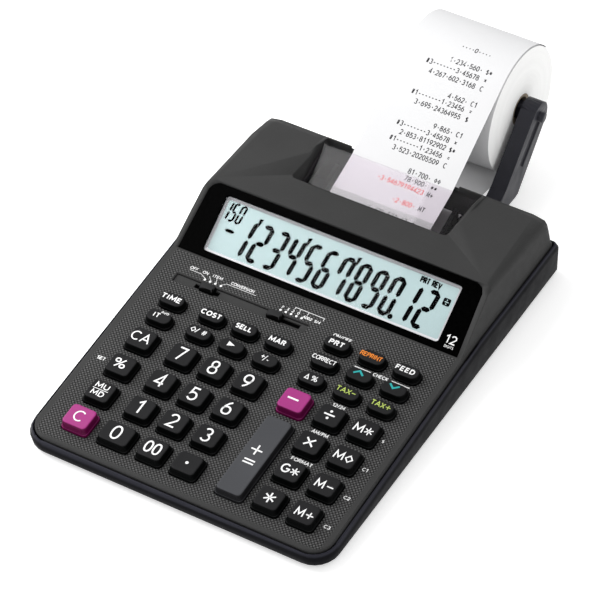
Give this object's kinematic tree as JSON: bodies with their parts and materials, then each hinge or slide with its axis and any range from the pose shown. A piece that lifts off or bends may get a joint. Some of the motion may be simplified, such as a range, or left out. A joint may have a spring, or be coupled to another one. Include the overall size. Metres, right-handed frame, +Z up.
{
  "type": "printing calculator",
  "caption": "Desk printing calculator: sloped key panel, tilted display, printer with smoked lid, and a rear arm holder carrying a paper roll whose tape runs out over the roll.",
  "frame": {"origin": "centre of the footprint of the whole object, case with its roll holder and roll, at the underside of the feet", "axes": "+X to the user's right, +Y from the front edge to the paper roll, +Z up"},
  "size_m": [0.165, 0.3127, 0.0675],
  "materials": {
    "case_top": "fine woven texture on the key panel, satin elsewhere",
    "case_bottom": "satin",
    "window": "gloss black border round a clear field",
    "lcd": "pale blue-green reflective display",
    "mat": "moulded silicone",
    "board": "green circuit laminate",
    "mechanism": "moulded",
    "paper": "uncoated white",
    "holder": "satin",
    "smoked_cover": "see-through smoked",
    "roller_rubber": "ground rubber",
    "type_drum": "moulded type wheels",
    "ink_felt": "ink-soaked foam",
    "key_black": "fine satin, white legends",
    "key_magenta": "satin, white legend",
    "key_grey": "satin, white legend"
  },
  "bodies": {
    "case": {"upper_case": "case_top", "lower_case": "case_bottom", "display_window": "window", "lcd_panel": "lcd", "key_mat": "mat", "main_board": "board", "printer_frame": "mechanism", "paper_tape": "paper"},
    "roll_holder": {"roll_holder": "holder"},
    "paper_roll": {"paper_roll": "paper"},
    "printer_cover": {"printer_cover": "smoked_cover"},
    "battery_cover": {"battery_cover": "case_bottom"},
    "platen_roller": {"platen_roller": "roller_rubber"},
    "print_drum": {"print_drum": "type_drum"},
    "ink_roller": {"ink_roller": "ink_felt"},
    "function_switch": {"function_switch": "key_black"},
    "decimal_switch": {"decimal_switch": "key_black"},
    "key_time": {"key_time": "key_black"},
    "key_item_count": {"key_item_count": "key_black"},
    "key_ca": {"key_ca": "key_black"},
    "key_percent": {"key_percent": "key_black"},
    "key_mark_up": {"key_mark_up": "key_black"},
    "key_clear": {"key_clear": "key_magenta"},
    "key_cost": {"key_cost": "key_black"},
    "key_non_add": {"key_non_add": "key_black"},
    "key_7": {"key_7": "key_black"},
    "key_4": {"key_4": "key_black"},
    "key_1": {"key_1": "key_black"},
    "key_0": {"key_0": "key_black"},
    "key_sell": {"key_sell": "key_black"},
    "key_shift_digit": {"key_shift_digit": "key_black"},
    "key_8": {"key_8": "key_black"},
    "key_5": {"key_5": "key_black"},
    "key_2": {"key_2": "key_black"},
    "key_00": {"key_00": "key_black"},
    "key_margin": {"key_margin": "key_black"},
    "key_sign": {"key_sign": "key_black"},
    "key_9": {"key_9": "key_black"},
    "key_6": {"key_6": "key_black"},
    "key_3": {"key_3": "key_black"},
    "key_point": {"key_point": "key_black"},
    "key_print": {"key_print": "key_black"},
    "key_correct": {"key_correct": "key_black"},
    "key_delta_percent": {"key_delta_percent": "key_black"},
    "key_minus": {"key_minus": "key_magenta"},
    "key_plus_equals": {"key_plus_equals": "key_grey"},
    "key_reprint": {"key_reprint": "key_black"},
    "key_up": {"key_up": "key_black"},
    "key_tax_minus": {"key_tax_minus": "key_black"},
    "key_divide": {"key_divide": "key_black"},
    "key_multiply": {"key_multiply": "key_black"},
    "key_grand_total": {"key_grand_total": "key_black"},
    "key_total": {"key_total": "key_black"},
    "key_feed": {"key_feed": "key_black"},
    "key_down": {"key_down": "key_black"},
    "key_tax_plus": {"key_tax_plus": "key_black"},
    "key_memory_total": {"key_memory_total": "key_black"},
    "key_memory_subtotal": {"key_memory_subtotal": "key_black"},
    "key_memory_minus": {"key_memory_minus": "key_black"},
    "key_memory_plus": {"key_memory_plus": "key_black"}
  },
  "joints": [
    {"name": "roll_holder_fold", "type": "hinge", "parent": "case", "child": "roll_holder", "pos_m": [0, 0.06905, 0.0066], "axis": [1, 0, 0], "range_deg": [0, 40], "deforming": ["paper_tape"]},
    {"name": "paper_roll_spin", "type": "hinge", "parent": "roll_holder", "child": "paper_roll", "pos_m": [0, 0.12355, 0.034], "axis": [1, 0, 0], "continuous": true},
    {"name": "printer_cover_lift", "type": "slide", "parent": "case", "child": "printer_cover", "axis": [0, 0, 1], "range_m": [0, 0.03]},
    {"name": "battery_cover_slide", "type": "slide", "parent": "case", "child": "battery_cover", "axis": [-1, 0, 0], "range_m": [0, 0.06]},
    {"name": "platen_roller_spin", "type": "hinge", "parent": "case", "child": "platen_roller", "pos_m": [0, 0.03305, 0.02035], "axis": [1, 0, 0], "continuous": true},
    {"name": "print_drum_spin", "type": "hinge", "parent": "case", "child": "print_drum", "pos_m": [0, 0.01945, 0.02], "axis": [1, 0, 0], "continuous": true},
    {"name": "ink_roller_spin", "type": "hinge", "parent": "case", "child": "ink_roller", "pos_m": [0, 0.01625, 0.0299], "axis": [1, 0, 0], "continuous": true},
    {"name": "function_switch_slide", "type": "slide", "parent": "case", "child": "function_switch", "axis": [1, 0, 0], "range_m": [-0.0052, 0.0043]},
    {"name": "decimal_switch_slide", "type": "slide", "parent": "case", "child": "decimal_switch", "axis": [1, 0, 0], "range_m": [0, 0.0115]},
    {"name": "key_time_press", "type": "slide", "parent": "case", "child": "key_time", "axis": [0, 0.075, -0.9972], "range_m": [0, 0.0015], "stiffness_N_per_m": 200, "springref_m": -0.001},
    {"name": "key_item_count_press", "type": "slide", "parent": "case", "child": "key_item_count", "axis": [0, 0.075, -0.9972], "range_m": [0, 0.0015], "stiffness_N_per_m": 200, "springref_m": -0.001},
    {"name": "key_ca_press", "type": "slide", "parent": "case", "child": "key_ca", "axis": [0, 0.075, -0.9972], "range_m": [0, 0.0015], "stiffness_N_per_m": 200, "springref_m": -0.001},
    {"name": "key_percent_press", "type": "slide", "parent": "case", "child": "key_percent", "axis": [0, 0.075, -0.9972], "range_m": [0, 0.0015], "stiffness_N_per_m": 200, "springref_m": -0.001},
    {"name": "key_mark_up_press", "type": "slide", "parent": "case", "child": "key_mark_up", "axis": [0, 0.075, -0.9972], "range_m": [0, 0.0015], "stiffness_N_per_m": 200, "springref_m": -0.001},
    {"name": "key_clear_press", "type": "slide", "parent": "case", "child": "key_clear", "axis": [0, 0.075, -0.9972], "range_m": [0, 0.0015], "stiffness_N_per_m": 200, "springref_m": -0.001},
    {"name": "key_cost_press", "type": "slide", "parent": "case", "child": "key_cost", "axis": [0, 0.075, -0.9972], "range_m": [0, 0.0015], "stiffness_N_per_m": 200, "springref_m": -0.001},
    {"name": "key_non_add_press", "type": "slide", "parent": "case", "child": "key_non_add", "axis": [0, 0.075, -0.9972], "range_m": [0, 0.0015], "stiffness_N_per_m": 200, "springref_m": -0.001},
    {"name": "key_7_press", "type": "slide", "parent": "case", "child": "key_7", "axis": [0, 0.075, -0.9972], "range_m": [0, 0.0015], "stiffness_N_per_m": 200, "springref_m": -0.001},
    {"name": "key_4_press", "type": "slide", "parent": "case", "child": "key_4", "axis": [0, 0.075, -0.9972], "range_m": [0, 0.0015], "stiffness_N_per_m": 200, "springref_m": -0.001},
    {"name": "key_1_press", "type": "slide", "parent": "case", "child": "key_1", "axis": [0, 0.075, -0.9972], "range_m": [0, 0.0015], "stiffness_N_per_m": 200, "springref_m": -0.001},
    {"name": "key_0_press", "type": "slide", "parent": "case", "child": "key_0", "axis": [0, 0.075, -0.9972], "range_m": [0, 0.0015], "stiffness_N_per_m": 200, "springref_m": -0.001},
    {"name": "key_sell_press", "type": "slide", "parent": "case", "child": "key_sell", "axis": [0, 0.075, -0.9972], "range_m": [0, 0.0015], "stiffness_N_per_m": 200, "springref_m": -0.001},
    {"name": "key_shift_digit_press", "type": "slide", "parent": "case", "child": "key_shift_digit", "axis": [0, 0.075, -0.9972], "range_m": [0, 0.0015], "stiffness_N_per_m": 200, "springref_m": -0.001},
    {"name": "key_8_press", "type": "slide", "parent": "case", "child": "key_8", "axis": [0, 0.075, -0.9972], "range_m": [0, 0.0015], "stiffness_N_per_m": 200, "springref_m": -0.001},
    {"name": "key_5_press", "type": "slide", "parent": "case", "child": "key_5", "axis": [0, 0.075, -0.9972], "range_m": [0, 0.0015], "stiffness_N_per_m": 200, "springref_m": -0.001},
    {"name": "key_2_press", "type": "slide", "parent": "case", "child": "key_2", "axis": [0, 0.075, -0.9972], "range_m": [0, 0.0015], "stiffness_N_per_m": 200, "springref_m": -0.001},
    {"name": "key_00_press", "type": "slide", "parent": "case", "child": "key_00", "axis": [0, 0.075, -0.9972], "range_m": [0, 0.0015], "stiffness_N_per_m": 200, "springref_m": -0.001},
    {"name": "key_margin_press", "type": "slide", "parent": "case", "child": "key_margin", "axis": [0, 0.075, -0.9972], "range_m": [0, 0.0015], "stiffness_N_per_m": 200, "springref_m": -0.001},
    {"name": "key_sign_press", "type": "slide", "parent": "case", "child": "key_sign", "axis": [0, 0.075, -0.9972], "range_m": [0, 0.0015], "stiffness_N_per_m": 200, "springref_m": -0.001},
    {"name": "key_9_press", "type": "slide", "parent": "case", "child": "key_9", "axis": [0, 0.075, -0.9972], "range_m": [0, 0.0015], "stiffness_N_per_m": 200, "springref_m": -0.001},
    {"name": "key_6_press", "type": "slide", "parent": "case", "child": "key_6", "axis": [0, 0.075, -0.9972], "range_m": [0, 0.0015], "stiffness_N_per_m": 200, "springref_m": -0.001},
    {"name": "key_3_press", "type": "slide", "parent": "case", "child": "key_3", "axis": [0, 0.075, -0.9972], "range_m": [0, 0.0015], "stiffness_N_per_m": 200, "springref_m": -0.001},
    {"name": "key_point_press", "type": "slide", "parent": "case", "child": "key_point", "axis": [0, 0.075, -0.9972], "range_m": [0, 0.0015], "stiffness_N_per_m": 200, "springref_m": -0.001},
    {"name": "key_print_press", "type": "slide", "parent": "case", "child": "key_print", "axis": [0, 0.075, -0.9972], "range_m": [0, 0.0015], "stiffness_N_per_m": 200, "springref_m": -0.001},
    {"name": "key_correct_press", "type": "slide", "parent": "case", "child": "key_correct", "axis": [0, 0.075, -0.9972], "range_m": [0, 0.0015], "stiffness_N_per_m": 200, "springref_m": -0.001},
    {"name": "key_delta_percent_press", "type": "slide", "parent": "case", "child": "key_delta_percent", "axis": [0, 0.075, -0.9972], "range_m": [0, 0.0015], "stiffness_N_per_m": 200, "springref_m": -0.001},
    {"name": "key_minus_press", "type": "slide", "parent": "case", "child": "key_minus", "axis": [0, 0.075, -0.9972], "range_m": [0, 0.0015], "stiffness_N_per_m": 200, "springref_m": -0.001},
    {"name": "key_plus_equals_press", "type": "slide", "parent": "case", "child": "key_plus_equals", "axis": [0, 0.075, -0.9972], "range_m": [0, 0.0015], "stiffness_N_per_m": 260, "springref_m": -0.001},
    {"name": "key_reprint_press", "type": "slide", "parent": "case", "child": "key_reprint", "axis": [0, 0.075, -0.9972], "range_m": [0, 0.0015], "stiffness_N_per_m": 200, "springref_m": -0.001},
    {"name": "key_up_press", "type": "slide", "parent": "case", "child": "key_up", "axis": [0, 0.075, -0.9972], "range_m": [0, 0.0015], "stiffness_N_per_m": 200, "springref_m": -0.001},
    {"name": "key_tax_minus_press", "type": "slide", "parent": "case", "child": "key_tax_minus", "axis": [0, 0.075, -0.9972], "range_m": [0, 0.0015], "stiffness_N_per_m": 200, "springref_m": -0.001},
    {"name": "key_divide_press", "type": "slide", "parent": "case", "child": "key_divide", "axis": [0, 0.075, -0.9972], "range_m": [0, 0.0015], "stiffness_N_per_m": 200, "springref_m": -0.001},
    {"name": "key_multiply_press", "type": "slide", "parent": "case", "child": "key_multiply", "axis": [0, 0.075, -0.9972], "range_m": [0, 0.0015], "stiffness_N_per_m": 200, "springref_m": -0.001},
    {"name": "key_grand_total_press", "type": "slide", "parent": "case", "child": "key_grand_total", "axis": [0, 0.075, -0.9972], "range_m": [0, 0.0015], "stiffness_N_per_m": 200, "springref_m": -0.001},
    {"name": "key_total_press", "type": "slide", "parent": "case", "child": "key_total", "axis": [0, 0.075, -0.9972], "range_m": [0, 0.0015], "stiffness_N_per_m": 200, "springref_m": -0.001},
    {"name": "key_feed_press", "type": "slide", "parent": "case", "child": "key_feed", "axis": [0, 0.075, -0.9972], "range_m": [0, 0.0015], "stiffness_N_per_m": 200, "springref_m": -0.001},
    {"name": "key_down_press", "type": "slide", "parent": "case", "child": "key_down", "axis": [0, 0.075, -0.9972], "range_m": [0, 0.0015], "stiffness_N_per_m": 200, "springref_m": -0.001},
    {"name": "key_tax_plus_press", "type": "slide", "parent": "case", "child": "key_tax_plus", "axis": [0, 0.075, -0.9972], "range_m": [0, 0.0015], "stiffness_N_per_m": 200, "springref_m": -0.001},
    {"name": "key_memory_total_press", "type": "slide", "parent": "case", "child": "key_memory_total", "axis": [0, 0.075, -0.9972], "range_m": [0, 0.0015], "stiffness_N_per_m": 200, "springref_m": -0.001},
    {"name": "key_memory_subtotal_press", "type": "slide", "parent": "case", "child": "key_memory_subtotal", "axis": [0, 0.075, -0.9972], "range_m": [0, 0.0015], "stiffness_N_per_m": 200, "springref_m": -0.001},
    {"name": "key_memory_minus_press", "type": "slide", "parent": "case", "child": "key_memory_minus", "axis": [0, 0.075, -0.9972], "range_m": [0, 0.0015], "stiffness_N_per_m": 200, "springref_m": -0.001},
    {"name": "key_memory_plus_press", "type": "slide", "parent": "case", "child": "key_memory_plus", "axis": [0, 0.075, -0.9972], "range_m": [0, 0.0015], "stiffness_N_per_m": 200, "springref_m": -0.001}
  ],
  "couplings": [
    {"joint": "platen_roller_spin", "follows": "paper_roll_spin", "ratio": 5.4667},
    {"joint": "ink_roller_spin", "follows": "print_drum_spin", "ratio": -1.3333}
  ]
}
